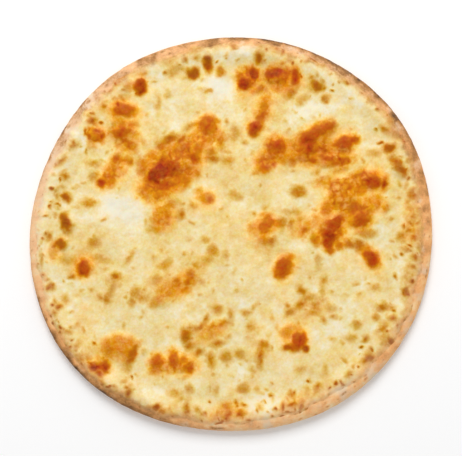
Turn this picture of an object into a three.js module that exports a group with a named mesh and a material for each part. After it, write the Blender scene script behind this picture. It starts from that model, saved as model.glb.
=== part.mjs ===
// Cheese manakish: a round flatbread with a softly rounded rim, and one sheet of melted cheese on it
// that stops a little short of the outline and is raised in blisters where it browned.
//
// Millimetres, +Z up. The origin is the centre of the flat base, and +Y is the side that is uppermost
// in a picture taken from straight above.
//
// Both solids are lofted from closed rings. A ring may have fewer points than its neighbour, so the
// hidden faces stay coarse while the rim and the browned top are fine.
import * as THREE from "three";

// ---- The flatbread ----
const BREAD_RADIUS = 120.2; // mean radius of the outline
// Hand-stretched dough isn't a true circle. Each wave is [lobes, height, direction of a peak in degrees].
const OUTLINE_WAVES = [
  [1, 0.4, 45],
  [2, 1.7, 21],
  [3, 0.65, 87],
  [4, 1.0, 38],
  [7, 0.2, 28],
  [8, 0.15, 34],
];
const GIRTH_HEIGHT = 4.2; // height of the widest line of the side
const CREST_HEIGHT = 9.2; // mean height of the rim's crest
const CREST_WAVES = [
  [2, 0.5, 60],
  [5, 0.35, 20],
];
const CREST_INSET = 7; // from the outline to the crest
const BED_INSET = 20; // from the outline to where the dough is level under the cheese
const BED_HEIGHT = 6.6; // thickness of the dough under the cheese
const FOOT_INSET = 6.5; // from the outline to where the base touches the table

// ---- The cheese ----
// Width of bare crust outside the cheese, every 30 degrees anticlockwise from +X.
const CRUST_WIDTHS = [4.6, 3.6, 3.0, 3.0, 3.4, 3.4, 3.4, 3.0, 3.0, 3.8, 5.6, 4.0];
const CRUST_RAGGED_WAVES = [
  [17, 0.35, 4],
  [29, 0.25, 9],
];
const CHEESE_THICKNESS = 2.2;
const LIP_THICKNESS = 1.0; // thickness at the cheese's edge
const LIP_TAPER = 8; // how far in from the edge the cheese reaches its full thickness
const LIP_ROUND = 0.7; // how far the lip's top lies inside its widest line
const BED_GAP = 0.35; // clearance between the two solids

// Long, low waves of the dough's bed and of the melted cheese: [wave length, direction, phase, height],
// in millimetres and degrees.
const BED_SWELLS = [
  [83, 20, 40, 0.35],
  [61, 115, 200, 0.3],
];
const CHEESE_SWELLS = [
  [31, 70, 10, 0.16],
  [23, 155, 100, 0.14],
  [19, 25, 250, 0.12],
];

// The larger browned blisters: [x, y, length, width, tilt in degrees, height].
const BLISTERS = [
  // the large patch left of the top
  [-44, 37, 15, 12, 20, 1.5], [-31, 43, 17, 12, 35, 1.2], [-20, 53, 18, 12, 45, 1.1],
  [-13, 65, 12, 10, 80, 1.1], [-50, 27, 10, 9, 60, 0.8],
  // along the top edge
  [9, 91, 13, 8, 65, 1.4], [27, 95, 17, 9, -5, 1.5], [37, 92, 16, 9, 90, 1.2], [15, 64, 13, 9, 60, 1.3],
  // the streaks on the right of the top
  [51, 61, 25, 9, 27, 1.3], [28, 52, 13, 11, 80, 1.2], [42, 51, 18, 12, 20, 0.9],
  [68, 55, 15, 10, 12, 1.3], [57, 45, 18, 9, 5, 1.0], [20, 40, 12, 9, 10, 0.8],
  // right of the centre
  [84, 33, 18, 11, 0, 1.3], [66, 27, 21, 18, 80, 0.9], [76, 10, 13, 11, 30, 1.0],
  [60, 4, 19, 11, 80, 1.4], [83, -14, 14, 10, -50, 1.3],
  // the centre and below it
  [20, 4, 17, 12, 90, 0.8], [30, -19, 16, 12, 60, 1.4], [40, -63, 13, 12, 30, 1.3],
  [-25, -25, 13, 10, 45, 0.9], [-41, -39, 15, 8, 20, 0.6],
  [-43, -76, 14, 10, -10, 1.1], [-30, -76, 16, 11, 0, 1.2], [-27, -59, 13, 8, 85, 0.8],
  // the left side
  [-87, -19, 11, 10, 80, 1.3], [-97, 7, 12, 9, 90, 1.3], [-100, -5, 9, 9, 0, 1.0],
  [-80, 60, 11, 9, 0, 1.0], [-63, 62, 15, 10, 15, 1.2], [-64, 75, 17, 10, 0, 1.3], [-54, 89, 11, 9, 75, 1.2],
  // the smooth bubble at the lower left, and the blister by the right edge
  [-67, -65, 21, 15, 0, 1.4], [100, 39, 13, 8, -50, 1.1],
];

// How many times a blister's own radius its foot lies from its middle.
const BLISTER_REACH = 1.25;

// ---- Facets ----
const RIM_POINTS = 192; // points round the outline and round the cheese's edge
const CHEESE_RINGS = 32; // rings over the top of the cheese; each inner ring has 6 points fewer
const CRUST_BANDS = 4; // bands of faces from the cheese's edge to the girth
const SIDE_BANDS = 3; // bands from the girth down to the foot
// Rings of the bed and of the flat base: [share of the radius, points in the ring], outermost first.
const BED_RINGS = [[0.95, 192], [0.88, 144], [0.75, 96], [0.55, 72], [0.35, 48], [0.15, 24]];
const BASE_RINGS = [[0.75, 64], [0.35, 16]];
const TURN = 2 * Math.PI;

const radians = THREE.MathUtils.degToRad;
const smooth = (t) => THREE.MathUtils.smoothstep(t, 0, 1);

/** Sum of the waves, each with its lobes round the circle, at this angle in radians. */
function waves(list, angle) {
  const wave = ([lobes, height, peak]) => height * Math.cos(lobes * (angle - radians(peak)));
  return list.reduce((sum, row) => sum + wave(row), 0);
}

/** Sum of straight swells at a point of the plan. */
function swells(list, x, y) {
  return list.reduce((sum, [length, direction, phase, height]) => {
    const along = x * Math.cos(radians(direction)) + y * Math.sin(radians(direction));
    return sum + height * Math.sin((TURN * along) / length + radians(phase));
  }, 0);
}

/** Values given at equal steps round the circle, joined by a smooth closed curve. */
function roundCurve(values, angle) {
  const n = values.length;
  const at = (((angle / TURN) % 1) + 1) % 1 * n;
  const i = Math.floor(at);
  const [a, b, c, d] = [-1, 0, 1, 2].map((step) => values[(i + step + n) % n]);
  const t = at - i;
  return b + 0.5 * t * (c - a + t * (2 * a - 5 * b + 4 * c - d + t * (3 * (b - c) + d - a)));
}

const outline = (angle) => BREAD_RADIUS + waves(OUTLINE_WAVES, angle);
const crustWidth = (angle) => roundCurve(CRUST_WIDTHS, angle) + waves(CRUST_RAGGED_WAVES, angle);
const cheeseEdge = (angle) => outline(angle) - crustWidth(angle);

/** Height of a quarter ellipse of this height and run, at this distance in from its outer end. */
const quarterRound = (inset, run, height) => height * Math.sqrt(Math.max(0, 1 - (1 - inset / run) ** 2));

/** Top of the dough at a polar place. */
function doughTop(radius, angle) {
  const inset = outline(angle) - radius;
  const crest = CREST_HEIGHT + waves(CREST_WAVES, angle);
  if (inset < CREST_INSET) return GIRTH_HEIGHT + quarterRound(inset, CREST_INSET, crest - GIRTH_HEIGHT);
  const bed = BED_HEIGHT + swells(BED_SWELLS, radius * Math.cos(angle), radius * Math.sin(angle));
  return crest + (bed - crest) * smooth((inset - CREST_INSET) / (BED_INSET - CREST_INSET));
}

/** Underside of the dough: rounded up to the girth, and flat inside the foot. */
function doughUnder(radius, angle) {
  const inset = outline(angle) - radius;
  return inset < FOOT_INSET ? GIRTH_HEIGHT - quarterRound(inset, FOOT_INSET, GIRTH_HEIGHT) : 0;
}

/** How far the browned blisters lift the cheese at a point of the plan. */
function blisterLift(x, y) {
  let lift = 0;
  for (const [bx, by, length, width, tilt, height] of BLISTERS) {
    const [c, s] = [Math.cos(radians(tilt)), Math.sin(radians(tilt))];
    const along = ((x - bx) * c + (y - by) * s) / (length / 2);
    const across = ((y - by) * c - (x - bx) * s) / (width / 2);
    lift = Math.max(lift, height * smooth(BLISTER_REACH - Math.hypot(along, across)));
  }
  return lift;
}

/** Top of the cheese at a polar place inside its edge. */
function cheeseTop(radius, angle) {
  const fromEdge = cheeseEdge(angle) - radius;
  const [x, y] = [radius * Math.cos(angle), radius * Math.sin(angle)];
  const full = smooth(fromEdge / LIP_TAPER);
  const thickness = LIP_THICKNESS + full * (CHEESE_THICKNESS - LIP_THICKNESS + swells(CHEESE_SWELLS, x, y));
  return doughTop(radius, angle) + BED_GAP + thickness + full * blisterLift(x, y);
}

/** A ring of points. place(angle) gives [radius, height]. */
function ring(points, place) {
  return Array.from({ length: points }, (_, i) => {
    const angle = (TURN * i) / points;
    const [radius, height] = place(angle);
    return [radius * Math.cos(angle), radius * Math.sin(angle), height];
  });
}

/** The listed rings inside this edge, from the outermost in to the centre point. */
function innerRings(list, edge, height) {
  const rings = list.map(([share, points]) =>
    ring(points, (angle) => [share * edge(angle), height(share * edge(angle), angle)]),
  );
  return [...rings, ring(1, (angle) => [0, height(0, angle)])];
}

/** Closes two neighbouring rings with triangles, whatever their point counts, walking round both. */
function stitch(outer, inner, outerStart, innerStart, faces) {
  let [i, j] = [0, 0];
  const steps = inner.length === 1 ? 0 : inner.length;
  while (i < outer.length || j < steps) {
    const [a, b] = [outerStart + (i % outer.length), innerStart + (j % inner.length)];
    if (j >= steps || (i < outer.length && (i + 1) / outer.length <= (j + 1) / steps)) {
      i += 1;
      faces.push(a, outerStart + (i % outer.length), b);
    } else {
      j += 1;
      faces.push(a, innerStart + (j % inner.length), b);
    }
  }
}

/**
 * The closed solid between two stacks of rings that share their first ring, the widest one. Both
 * stacks run inwards and end in one point; upper covers the top, and lower the underside.
 */
function lofted(widest, upper, lower) {
  const vertices = [...widest];
  const faces = [];
  for (const [stack, facesUp] of [[upper, true], [lower, false]]) {
    let [outer, outerStart] = [widest, 0];
    for (const inner of stack) {
      const innerStart = vertices.length;
      vertices.push(...inner);
      const made = [];
      stitch(outer, inner, outerStart, innerStart, made);
      faces.push(...(facesUp ? made : made.reverse()));
      [outer, outerStart] = [inner, innerStart];
    }
  }
  const geometry = new THREE.BufferGeometry();
  geometry.setAttribute("position", new THREE.Float32BufferAttribute(vertices.flat(), 3));
  geometry.setIndex(faces);
  geometry.computeVertexNormals();
  return geometry;
}

/** The flatbread, with its crust rounded from the girth up to where the cheese begins. */
function doughGeometry() {
  const girth = ring(RIM_POINTS, (angle) => [outline(angle), GIRTH_HEIGHT]);
  const onCrust = (share) => (angle) => {
    // equal turns of the rounded edge, so that the steep side gets as many faces as the top
    const turn = Math.acos(1 - crustWidth(angle) / CREST_INSET);
    const radius = outline(angle) - CREST_INSET * (1 - Math.cos(turn * share));
    return [radius, doughTop(radius, angle)];
  };
  const bands = (count, place) => {
    return Array.from({ length: count }, (_, i) => ring(RIM_POINTS, place((i + 1) / count)));
  };
  const onSide = (share) => (angle) => {
    const radius = outline(angle) - FOOT_INSET * (1 - Math.cos((share * Math.PI) / 2));
    return [radius, doughUnder(radius, angle)];
  };
  const foot = (angle) => outline(angle) - FOOT_INSET;
  return lofted(
    girth,
    [...bands(CRUST_BANDS, onCrust), ...innerRings(BED_RINGS, cheeseEdge, doughTop)],
    [...bands(SIDE_BANDS, onSide), ...innerRings(BASE_RINGS, foot, () => 0)],
  );
}

/** The sheet of melted cheese, whose underside follows the dough. */
function cheeseGeometry() {
  const under = (radius, angle) => doughTop(radius, angle) + BED_GAP;
  const lip = ring(RIM_POINTS, (angle) => {
    return [cheeseEdge(angle), under(cheeseEdge(angle), angle) + LIP_THICKNESS / 2];
  });
  const top = Array.from({ length: CHEESE_RINGS + 1 }, (_, i) => {
    const share = 1 - i / CHEESE_RINGS;
    return ring(Math.max(1, 6 * (CHEESE_RINGS - i)), (angle) => {
      const radius = share * (cheeseEdge(angle) - LIP_ROUND);
      return [radius, cheeseTop(radius, angle)];
    });
  });
  const edgeBelow = ring(RIM_POINTS, (angle) => {
    return [cheeseEdge(angle) - LIP_ROUND / 3, under(cheeseEdge(angle), angle)];
  });
  return lofted(lip, top, [edgeBelow, ...innerRings(BED_RINGS, cheeseEdge, under)]);
}

/** A named mesh with a plain material. */
function part(name, geometry, color, roughness) {
  const mesh = new THREE.Mesh(geometry, new THREE.MeshStandardMaterial({ color, roughness, metalness: 0 }));
  mesh.name = name;
  return mesh;
}

const manakish = new THREE.Group();
manakish.add(part("dough", doughGeometry(), 0xe3a562, 0.8));
manakish.add(part("cheese", cheeseGeometry(), 0xf0d493, 0.5));

// The waves leave the outline's box a little off centre, so the whole is moved to centre it on the origin.
const centre = new THREE.Box3().setFromObject(manakish).getCenter(new THREE.Vector3());
manakish.position.set(-centre.x, -centre.y, 0);

export default manakish;
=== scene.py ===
"""A cheese manakish on a plain white floor, seen from straight above.

Two fine meshes stand for the two solids of the frame: the baked flatbread and the sheet of melted cheese.
Both are lofted from closed rings and follow the outline and profile of the solids. Every vertex has a
baking level, which round the rim is partly painted shade and light, and on the cheese a browning level
from the spots listed below, which also drives its relief. The colours follow these levels, which are point
attributes.

Lengths are in millimetres until a mesh is made. Angles are in degrees in the lists, and anticlockwise
from +X. +Y is the side that is uppermost in the picture.
"""
import math

import bpy
import numpy as np
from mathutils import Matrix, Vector


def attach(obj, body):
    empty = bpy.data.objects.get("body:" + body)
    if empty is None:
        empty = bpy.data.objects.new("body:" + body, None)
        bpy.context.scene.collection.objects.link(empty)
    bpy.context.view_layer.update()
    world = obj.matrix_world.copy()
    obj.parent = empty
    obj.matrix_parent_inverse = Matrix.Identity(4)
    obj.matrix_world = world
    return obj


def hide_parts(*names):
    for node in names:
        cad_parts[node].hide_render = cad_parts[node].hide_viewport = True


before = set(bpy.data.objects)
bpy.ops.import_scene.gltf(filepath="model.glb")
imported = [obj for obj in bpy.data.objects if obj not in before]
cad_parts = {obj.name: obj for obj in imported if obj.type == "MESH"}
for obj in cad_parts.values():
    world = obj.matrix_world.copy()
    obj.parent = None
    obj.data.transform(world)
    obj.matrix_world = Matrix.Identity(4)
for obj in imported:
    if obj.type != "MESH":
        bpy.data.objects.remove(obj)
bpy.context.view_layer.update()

MM = 0.001
TAU = 2 * math.pi

# ---- Form, as in the solids ----
BREAD_RADIUS = 120.2  # mean radius of the outline
# Waves of the outline and the crest: lobes, height, direction of a peak.
OUTLINE_WAVES = ((1, 0.4, 45), (2, 1.7, 21), (3, 0.65, 87), (4, 1.0, 38), (7, 0.2, 28), (8, 0.15, 34))
GIRTH_HEIGHT = 4.2  # height of the widest line of the side
CREST_HEIGHT = 9.2  # mean height of the rim's crest
CREST_WAVES = ((2, 0.5, 60), (5, 0.35, 20))
CREST_INSET = 7.0  # from the outline to the crest
BED_INSET = 20.0  # from the outline to where the dough is level under the cheese
BED_HEIGHT = 6.6  # thickness of the dough under the cheese
FOOT_INSET = 6.5  # from the outline to where the base touches the floor
# Width of the bare crust every 30 degrees from +X, and small waves of it.
CRUST_WIDTHS = (4.6, 3.6, 3.0, 3.0, 3.4, 3.4, 3.4, 3.0, 3.0, 3.8, 5.6, 4.0)
CRUST_RAGGED_WAVES = ((17, 0.35, 4), (29, 0.25, 9))
CHEESE_THICKNESS = 2.2
LIP_THICKNESS = 1.0  # thickness near the cheese's edge
LIP_TAPER = 8.0  # how far in from its edge the cheese reaches its full thickness
# Long swells of the bed and of the cheese's thickness: length, direction, phase, height.
BED_SWELLS = ((83, 20, 40, 0.35), (61, 115, 200, 0.3))
CHEESE_SWELLS = ((31, 70, 10, 0.16), (23, 155, 100, 0.14), (19, 25, 250, 0.12))

# The larger browned blisters: x, y, length, width, tilt, height.
BLISTERS = (
    # the large patch left of the top
    (-44, 37, 15, 12, 20, 1.5), (-31, 43, 17, 12, 35, 1.2), (-20, 53, 18, 12, 45, 1.1),
    (-13, 65, 12, 10, 80, 1.1), (-50, 27, 10, 9, 60, 0.8),
    # along the top edge
    (9, 91, 13, 8, 65, 1.4), (27, 95, 17, 9, -5, 1.5), (37, 92, 16, 9, 90, 1.2), (15, 64, 13, 9, 60, 1.3),
    # the streaks on the right of the top
    (51, 61, 25, 9, 27, 1.3), (28, 52, 13, 11, 80, 1.2), (42, 51, 18, 12, 20, 0.9),
    (68, 55, 15, 10, 12, 1.3), (57, 45, 18, 9, 5, 1.0), (20, 40, 12, 9, 10, 0.8),
    # right of the centre
    (84, 33, 18, 11, 0, 1.3), (66, 27, 21, 18, 80, 0.9), (76, 10, 13, 11, 30, 1.0),
    (60, 4, 19, 11, 80, 1.4), (83, -14, 14, 10, -50, 1.3),
    # the centre and below it
    (20, 4, 17, 12, 90, 0.8), (30, -19, 16, 12, 60, 1.4), (40, -63, 13, 12, 30, 1.3),
    (-25, -25, 13, 10, 45, 0.9), (-41, -39, 15, 8, 20, 0.6),
    (-43, -76, 14, 10, -10, 1.1), (-30, -76, 16, 11, 0, 1.2), (-27, -59, 13, 8, 85, 0.8),
    # the left side
    (-87, -19, 11, 10, 80, 1.3), (-97, 7, 12, 9, 90, 1.3), (-100, -5, 9, 9, 0, 1.0),
    (-80, 60, 11, 9, 0, 1.0), (-63, 62, 15, 10, 15, 1.2), (-64, 75, 17, 10, 0, 1.3),
    (-54, 89, 11, 9, 75, 1.2),
    # the smooth bubble at the lower left, and the blister by the right edge
    (-67, -65, 21, 15, 0, 1.4), (100, 39, 13, 8, -50, 1.1),
)
BLISTER_REACH = 1.25  # how far a blister swells, in its own radii

# ---- Form that only the scene has ----
LIP_FEATHER = 3.6  # how far in from its edge the cheese thins out
LIP_RELIEF = 0.3  # share of the relief that is left at the cheese's edge
PUFF = 0.35  # how far browned cheese rises
PUFF_LEVEL = 0.6  # browning level at which it has risen fully
SINK = 0.3  # how far the darkest spots sink back
SINK_LEVEL = 0.8  # browning level at which they start to
UNDER_DIMPLES = 0.5  # depth of the hollows of the underside
DIMPLE_MARGIN = 5.0  # from the foot in to where they are full
BUMPS_CLEAR = 2.5  # height where the side's bumps are full
SUNK = 0.25  # how far the cheese's hidden side lies in the dough

# ---- Noise: strength, size, seed and layers of each ----
SPOT_WARP_X = ((0.9, 6, 11, 1), (0.7, 2.2, 12, 1))
SPOT_WARP_Y = ((0.9, 6, 13, 1), (0.7, 2.2, 14, 1))
TONE_NOISE = ((0.07, 11, 15, 3), (0.06, 3.2, 18, 3))
NET_NOISE = ((0.5, 2.8, 31, 2),)
LEVEL_NOISE = ((0.08, 6, 33, 2),)
EDGE_TONGUES = ((0.9, 6, 41, 1), (0.6, 2.6, 42, 1))
EDGE_COLOUR_NOISE = ((2.0, 4, 45, 3),)
CHEESE_LUMPS = ((0.2, 8, 51, 3), (0.11, 2.6, 55, 3))
CRUST_BUMPS = ((0.14, 10, 61, 3), (0.1, 2.4, 65, 3))
DIMPLE_NOISE = ((1.0, 9, 67, 3),)
BAKE_NOISE = ((0.08, 10, 71, 3), (0.17, 4.2, 75, 3))
WARM_NOISE = ((0.3, 14, 81, 3),)
WHITE_NOISE = ((0.6, 5, 85, 3),)
FLOUR_NOISE = ((1.0, 7, 91, 3),)
UNDER_SPOT_NOISE = ((1.0, 8, 101, 2),)
UNDER_REGION_NOISE = ((1.0, 40, 103, 3),)
UNDER_NOISE = ((0.1, 26, 105, 3), (0.07, 3, 107, 3))

# ---- Browned spots of the cheese ----
# Browning level, from 0 for pale cheese to 1 for the darkest: spots of x, y, length, width, tilt. Half of a
# spot's browning is left at its border.
SPOTS = {
    0.92: (
        (-46, 35, 9, 8, 60), (8, 91, 9, 8, 60), (27, 97, 14, 7, 0), (-81, -78, 7, 6, 0), (-44, 32, 5, 5, 0),
    ),
    0.82: (
        (-54, 89, 10, 9, 75), (-77, 32, 6, 6, 0), (-98, 8, 12, 7, 100), (-23, 97, 8, 7, 20),
        (-14, 103, 11, 6, -75), (-36, 40, 14, 10, 0), (-42, 38, 11, 10, 0), (13, 97, 8, 7, 60),
        (38, 95, 11, 7, 90), (14, 64, 11, 8, 55), (68, 56, 14, 9, 15), (84, 32, 12, 9, 0), (91, 31, 8, 4, 80),
        (62, 7, 14, 9, 40), (58, -2, 12, 10, 70), (83, -13, 13, 8, -50), (-88, -19, 11, 9, 90),
        (41, -61, 11, 9, 80), (44, -67, 6, 6, 0), (-44, -102, 7, 5, 0), (6, -106, 6, 4, 30),
        (110, -40, 11, 2.5, 68), (-74, -79, 6, 5, 60),
    ),
    0.73: (
        (-64, 75, 16, 9, 0), (-82, 68, 6, 5, 0), (-65, 62, 15, 7, 8), (50, 61, 25, 8, 27),
        (82, -73, 9, 6, 30), (-84, 60, 7, 3, 95), (-77, 60, 7, 3, 85), (-80, 63, 6, 2.5, 0),
        (-80, 57, 6, 2.5, 0), (-98, 23, 6, 6, 0), (-42, 44, 14, 5, 50), (22, 96, 6, 6, 0),
        (16, 106, 7, 5, 90), (28, 114, 9, 3, -20), (31, 110, 5, 2.5, 80), (49, 104, 9, 3, -30),
        (51, 89, 9, 7, 0), (28, 53, 13, 11, 0), (45, 57, 12, 7, 20), (59, 66, 8, 7, 20), (47, 53, 9, 5, 50),
        (58, 46, 9, 5, 10), (74, 58, 6, 6, 0), (94, 52, 9, 6, 0), (100, 41, 16, 6.5, -54),
        (77, 10, 12, 11, 40), (56, 2, 8, 6, 30), (31, -19, 15, 10, 62), (34, -66, 8, 5, 10),
        (-102, -5, 8, 7, 0), (-59, -71, 16, 6.5, 62), (-61, -93, 8, 4, 70), (-76, -77, 8, 7, 0),
        (-7, -111, 9, 4, 30), (104, -33, 7, 6, 90), (103, -52, 10, 2.5, 60), (95, -62, 7, 4.5, -60),
        (42, -101, 8, 3.5, 78), (31, -103, 7, 2.8, 75), (36, -100, 8, 2.8, 25), (34, -105, 7, 2.5, 10),
        (38, -103, 4, 2.5, 80), (45, -103, 6, 3, 0),
    ),
    0.64: (
        (-68, 46, 7, 6, 60), (-37, 57, 13, 6, 28), (-12, 50, 6, 5, 0), (-21, 46, 9, 8, 60),
        (-11, 46, 8, 5, -15), (-39, 30, 16, 8, 0), (-30, 57, 10, 4, 45), (-14, 65, 11, 11, 0),
        (-50, 31, 12, 6, 90), (46, 53, 15, 12, 20), (20, 4, 8, 8, 0), (71, -5, 9, 5, -10), (49, 45, 8, 5, 0),
        (77, 36, 14, 5, 10), (72, 17, 12, 7, 60), (22, 8, 8, 9, 60), (-103, -42, 5, 4.5, 0),
        (-44, -75, 9, 9, 0), (-27, -59, 11, 6, 82), (-69, -24, 6, 5.5, 0), (-24, -24, 7, 7, 0),
        (-78, -82, 6, 5, -40), (-77, -88, 5, 4, 0), (-34, -74, 8, 11, 0), (-24, -78, 8, 9, 0),
        (59, -8, 8, 5, 0), (109, -19, 4, 4, 0), (109, -13, 4.5, 4, 90), (38, -66, 10, 6, 0),
        (44, 4, 8, 4.5, 35), (-99, 36, 5, 4, 0), (56, 51, 9, 5, 90), (77, -6, 9, 7, -30),
    ),
    0.55: (
        (-41, -105, 7, 4, 20), (108, 24, 8, 6, 100), (-59, 66, 8, 5, 0), (-20, 52, 8, 7, 0),
        (-28, -73, 6, 6, 0), (-72, 87, 5, 3, 50), (-2, -107, 9, 6, 70), (-67, 92, 5, 3, 40),
        (-63, 95, 4, 3, 40), (-60, 44, 5, 5, 0), (-101, 45, 9, 4, 42), (-105, 43, 4, 3, 90),
        (-94, 54, 7, 3.5, 40), (-108, 0, 5, 4, 90), (-6, 98, 7, 6, 90), (-27, 105, 4.5, 4, 0),
        (-12, 69, 10, 6, -10), (-6, 57, 12, 5, 95), (-30, 51, 16, 9, 40), (-42, 54, 8, 7, 50),
        (17, 87, 10, 6, 10), (57, 16, 10, 8, 90), (50, -2, 9, 7, 90), (-43, 24, 12, 6, 10),
        (-20, 38, 6, 5, 90), (-26, 32, 10, 5, 65), (-29, 13, 5, 4, 60), (-13, 21, 7, 5, 0),
        (-61, 55, 14, 7, -50), (-80, 60, 9, 9, 0), (1, 112, 4, 4, 0), (27, 111, 5, 4, 90), (35, 85, 7, 6, 60),
        (20, 76, 13, 6, 80), (17, 70, 12, 6, 65), (23, 46, 10, 8, 50), (20, 40, 12, 6, 10),
        (56, 81, 6, 5, 60), (42, 47, 8, 5, 90), (37, 45, 8, 6, 0), (39, 54, 8, 6, 0), (66, 45, 9, 7, 30),
        (61, 44, 16, 6, 10), (77, 28, 12, 8, 20), (112, 16, 4, 3, 0), (107, 8, 6, 4, -40), (105, 3, 6, 4, 10),
        (36, 7, 7, 4, 90), (40, 26, 11, 7.5, -10), (29, 8, 9, 7, 0), (-113, -14, 9, 2, 95),
        (-107, -30, 5.5, 5, 0), (-74, -38, 5, 5, 0), (-33, -27, 6, 5, 60), (-26, -28, 6, 6, 0),
        (-19, -54, 8, 4, 30), (-15, -49, 6, 4, 75), (-5, -52, 10, 4, 35), (-10, -54, 7, 4, 20),
        (-25, -66, 6, 5, 0), (-19, -69, 6, 5, 20), (-12, -74, 8, 4.5, 90), (-8, -64, 8, 5, 5),
        (-26, -104, 14, 4.5, 88), (25, -3, 5, 5, 0), (35, -13, 5, 4, 0), (42, -33, 8, 4.5, -60),
        (41, -41, 10, 4.5, 40), (35, -45, 6, 5, 0), (20, -65, 6, 5, 90), (18, -72, 12, 4.5, 85),
        (80, -61, 5, 5, 0), (90, -42, 7, 5, 0), (90, -54, 9, 5, 45), (96, -49, 5, 4, 0), (108, -27, 4, 4, 0),
        (108, -1, 5, 4, 0), (70, -82, 6, 3.5, 60), (51, -90, 6, 3.5, 75), (46, -102, 4, 3, 0),
        (-65, 66, 8, 6, 0), (65, -6, 6, 6, 0), (92, 63, 7, 4, -50), (-52, 39, 8, 6, 0),
        (-105, -46, 5, 3.5, -60), (-94, -24, 5, 4, 0),
    ),
    0.45: (
        (-33, -30, 10, 4, 35), (-40, -36, 11, 4, 30), (-50, -37, 6, 3.5, 60), (-52, 97, 4, 3, 45),
        (-65, 81, 4, 4, 0), (-82, 43, 8, 5, 0), (-52, 43, 10, 7, 0), (-62, 45, 7, 6, 0), (-72, 38, 18, 8, 52),
        (-71, 33, 10, 6, 60), (-104, 27, 6, 3, 70), (-103, 23, 5, 3, 90), (-85, 20, 12, 5, -5),
        (-21, 106, 3.5, 3, 0), (-24, 65, 12, 4, 25), (-3, 45, 8, 4, 0), (-53, 27, 8, 8, 0), (-43, 9, 8, 6, 0),
        (-38, 14, 5, 4, 90), (-23, 17, 5, 4, 0), (-15, 22, 11, 8, -10), (-36, 19, 8, 4, 20),
        (-15, -2, 3.5, 3.5, 0), (29, 88, 8, 5, 0), (48, 94, 4, 3, 0), (54, 92, 4, 3, 90), (46, 104, 4, 3, 0),
        (16, 43, 8, 6, 90), (65, 40, 12, 5, 15), (92, 17, 7, 6, 60), (85, 19, 6, 5, 0), (83, 15, 6, 6, 0),
        (41, 10, 5, 4, 0), (108, 13, 8, 3, 75), (97, 61, 9, 5, -50), (104, -44, 6, 4, 60), (-47, 47, 7, 6, 0),
        (67, 92, 5, 3, -35), (-82, -4, 7, 7, 0), (-61, 89, 7, 5, 40), (-82, 36, 7, 6, 0),
        (-90, -73, 8, 6, -30), (34, -58, 9, 8, 0), (30, 45, 8, 6, 0), (101, 0, 7, 6, 0), (95, 67, 6, 4, -50),
        (-61, -13, 8, 3, 60), (-72, -33, 10, 4, 62), (-78, -37, 4, 4, 0), (-97, -57, 5, 4, 0),
        (-91, -65, 5, 3.5, 0), (-85, -72, 5, 4, -30), (-61, -78, 6, 4, 70), (-66, -65, 20, 13, 0),
        (-73, -68, 12, 7, 80), (47, -36, 6, 5, 0), (81, 2, 12, 7, 0), (5, -70, 8, 6, 0), (-64, -86, 4, 3, 0),
        (-49, -102, 5, 3, 0), (-55, -101, 5, 3, -20), (-39, -17, 7, 6, 30), (-28, -32, 8, 5, 0),
        (-38, -35, 12, 4, 28), (-44, -39, 10, 7, 30), (-57, -34, 8, 6, 90), (-53, -36, 6, 6, 0),
        (-59, -39, 6, 5, 90), (-11, -9, 7, 7, 0), (-14, -15, 6, 5, 0), (-20, -18, 4, 4, 0),
        (-8, -44, 8, 5, 0), (0, -47, 6, 3.5, 90), (-24, -54, 5, 4, 0), (-3, -72, 9, 7, 0),
        (-35, -69, 6, 4, 90), (-46, -80, 6, 6, 0), (-25, -91, 6, 5, 90), (-20, -103, 4.5, 3.5, 90),
        (-3, -102, 8, 5, 0), (21, -3, 10, 5, 0), (55, -26, 5, 3.5, 90), (44, -37, 5, 5, 0),
        (50, -41, 8, 5, 90), (33, -42, 4, 4, 0), (9, -46, 6, 5, 0), (12, -54, 6, 5, 0), (61, -48, 5, 4, 0),
        (55, -50, 4, 4, 0), (74, -53, 6, 6, 0), (87, -49, 4, 4, 0), (95, -42, 4, 3, 0), (105, -8, 6, 4, 0),
        (112, -6, 4, 4, 0), (89, -70, 4, 3, 30), (7, -91, 7, 7, 0), (36, -94, 4, 4, 0),
        (-69, -93, 6, 3.5, -30), (49, -46, 8, 5, 0), (-13, 87, 5, 4, 0), (-7, 95, 4, 3, 0),
    ),
    0.34: (
        (-38, 105, 9, 6, 0), (-23, 111, 13, 6, 15), (60, -43, 7, 6, 0), (39, 14, 7, 6, 0),
        (-106, -10, 5, 8, 0), (42, 81, 9, 5, 20), (-34, 98, 8, 6, 30), (-53, 97, 8, 4, 40), (3, 24, 9, 6, 0),
        (-44, 79, 10, 3, 95), (-38, 84, 5, 4, 90), (-84, 54, 8, 6, 90), (-100, 30, 4, 3, 0),
        (-97, -14, 13, 7, 0), (-45, 4, 10, 6, 0), (-19, 26, 6, 5, 0), (35, 105, 4, 3, 0), (2, 62, 9, 4, 90),
        (85, 49, 8, 6, 0), (35, 14, 8, 4, 0), (51, 9, 8, 8, 0), (14, 4, 8, 8, 0), (-78, -14, 9, 3, -15),
        (-98, -38, 6, 5, 90), (-45, -26, 6, 4, 0), (-3, -11, 4, 4, 0), (-18, -26, 4, 4, 0),
        (-33, -94, 8, 4, 0), (-9, -92, 6, 4, 90), (52, -15, 8, 4, 90), (13, -42, 6, 3, 40),
        (37, -56, 12, 6, 0), (72, -61, 6, 5, 0), (56, -79, 5, 3, 90), (41, -79, 5, 4, 0), (13, -80, 4, 4, 0),
        (16, -91, 5, 4, 90), (45, -92, 4, 4, 0), (17, -102, 4, 4, 0), (54, -33, 9, 3, 90), (86, -31, 6, 5, 0),
        (61, -61, 5, 4, 0),
    ),
}

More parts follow.
